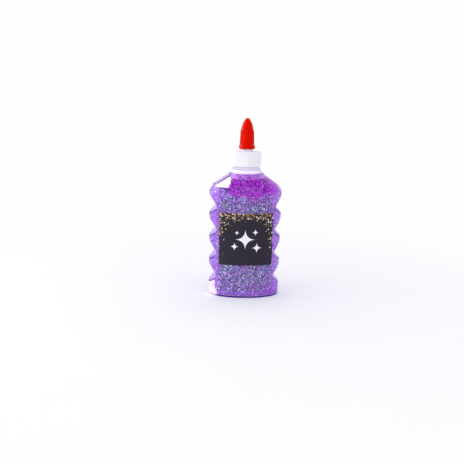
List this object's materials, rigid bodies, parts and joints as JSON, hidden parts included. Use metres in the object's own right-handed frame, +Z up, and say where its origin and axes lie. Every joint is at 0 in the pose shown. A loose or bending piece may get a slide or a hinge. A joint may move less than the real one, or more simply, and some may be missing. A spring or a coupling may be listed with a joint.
{
  "type": "glitter glue bottle",
  "caption": "Clear scalloped squeeze bottle of purple glitter glue, with a front label, a ribbed screw cap and a bullet-shaped tip that twists up to open.",
  "frame": {"origin": "middle of the base, on the surface that the bottle stands on", "axes": "+Z up along the neck, the label faces -Y, the lobes are along X"},
  "size_m": [0.0658, 0.0385, 0.1606],
  "materials": {
    "clear_plastic": "gloss",
    "glitter_glue": "gloss",
    "label_paper": "satin",
    "white_plastic": "satin",
    "liner_foam": "matte",
    "red_plastic": "gloss"
  },
  "bodies": {
    "bottle": {"bottle": "clear_plastic", "glue": "glitter_glue", "front_label": "label_paper"},
    "liner": {"cap_liner": "liner_foam"},
    "cap": {"screw_cap": "white_plastic"},
    "plug": {"spout_plug": "white_plastic"},
    "tip": {"twist_tip": "red_plastic"}
  },
  "joints": [
    {"name": "cap_lift", "type": "slide", "parent": "bottle", "child": "liner", "axis": [0, 0, 1], "range_m": [0, 0.00476]},
    {"name": "cap_turn", "type": "hinge", "parent": "liner", "child": "cap", "pos_m": [0, 0, 0.1246], "axis": [0, 0, 1], "range_deg": [0, 540]},
    {"name": "tip_twist", "type": "hinge", "parent": "cap", "child": "plug", "pos_m": [0, 0, 0.1453], "axis": [0, 0, 1], "range_deg": [0, 270]},
    {"name": "tip_lift", "type": "slide", "parent": "plug", "child": "tip", "axis": [0, 0, 1], "range_m": [0, 0.0035]}
  ],
  "couplings": [
    {"joint": "cap_turn", "follows": "cap_lift", "rad_per_m": 1979},
    {"joint": "tip_twist", "follows": "tip_lift", "rad_per_m": 1346.4}
  ]
}
